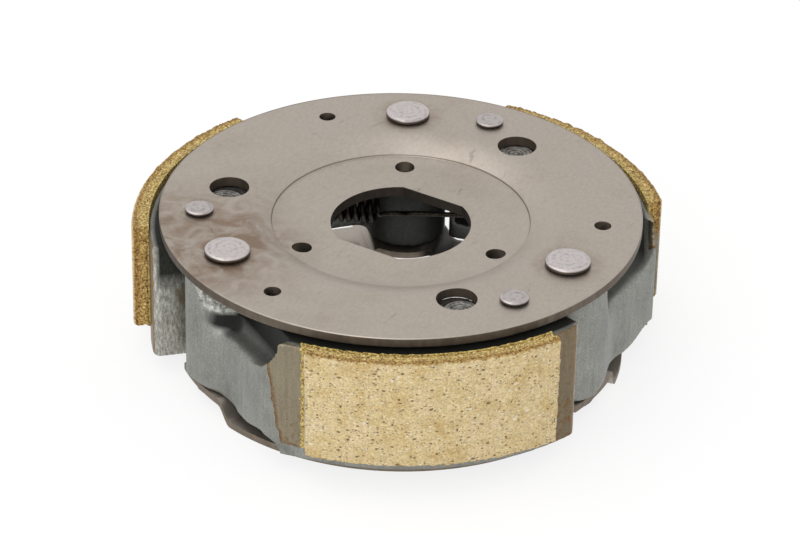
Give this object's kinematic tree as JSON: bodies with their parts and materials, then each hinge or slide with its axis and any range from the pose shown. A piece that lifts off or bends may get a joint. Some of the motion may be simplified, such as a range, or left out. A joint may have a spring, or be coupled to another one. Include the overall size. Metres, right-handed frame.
{
  "type": "centrifugal clutch",
  "caption": "Dry centrifugal clutch: a dished steel drive plate carries hinged cast shoes with bonded friction linings, return springs and a stepped retaining plate.",
  "frame": {"origin": "on the clutch axis at the mid-height of the friction linings, which is also the centre of the solids within the test's tolerance", "axes": "+Z along the clutch axis, from the retaining plate towards the drive plate; +X towards the pivot of shoe 1"},
  "size_m": [0.1025, 0.1057, 0.0334],
  "materials": {
    "plate_steel": "brown-grey phosphated steel, faint grain and handling stains",
    "rivet_steel": "bright riveted steel with swirl marks",
    "cast_aluminium": "satin die-cast aluminium, machined and brown-stained beside the linings",
    "friction_lining": "matt yellow-ochre fibre and resin friction material with dark and white specks",
    "damper_rubber": "matt black rubber",
    "spring_steel": "oiled spring steel"
  },
  "bodies": {
    "carrier": {"drive_plate": "plate_steel", "retaining_plate": "plate_steel", "pivot_pin_1": "rivet_steel", "pivot_pin_2": "rivet_steel", "pivot_pin_3": "rivet_steel", "damper_stub_1": "rivet_steel", "damper_stub_2": "rivet_steel", "damper_stub_3": "rivet_steel", "damper_rubber_1": "damper_rubber", "damper_rubber_2": "damper_rubber", "damper_rubber_3": "damper_rubber", "e_clip_1": "spring_steel", "e_clip_2": "spring_steel", "e_clip_3": "spring_steel"},
    "shoe_body_1": {"shoe_1": "cast_aluminium", "lining_1": "friction_lining", "return_spring_1": "spring_steel"},
    "shoe_body_2": {"shoe_2": "cast_aluminium", "lining_2": "friction_lining", "return_spring_2": "spring_steel"},
    "shoe_body_3": {"shoe_3": "cast_aluminium", "lining_3": "friction_lining", "return_spring_3": "spring_steel"}
  },
  "joints": [
    {"name": "shoe_1_pivot", "type": "hinge", "parent": "carrier", "child": "shoe_body_1", "pos_m": [0.0382, 0, 0], "axis": [0, 0, -1], "range_deg": [0, 2.5], "stiffness_Nm_per_rad": 4, "springref_deg": -5.73, "deforming": ["return_spring_1", "return_spring_3"]},
    {"name": "shoe_2_pivot", "type": "hinge", "parent": "carrier", "child": "shoe_body_2", "pos_m": [-0.0191, 0.03308, 0], "axis": [0, 0, -1], "range_deg": [0, 2.5], "stiffness_Nm_per_rad": 4, "springref_deg": -5.73, "deforming": ["return_spring_2", "return_spring_1"]},
    {"name": "shoe_3_pivot", "type": "hinge", "parent": "carrier", "child": "shoe_body_3", "pos_m": [-0.0191, -0.03308, 0], "axis": [0, 0, -1], "range_deg": [0, 2.5], "stiffness_Nm_per_rad": 4, "springref_deg": -5.73, "deforming": ["return_spring_3", "return_spring_2"]}
  ]
}
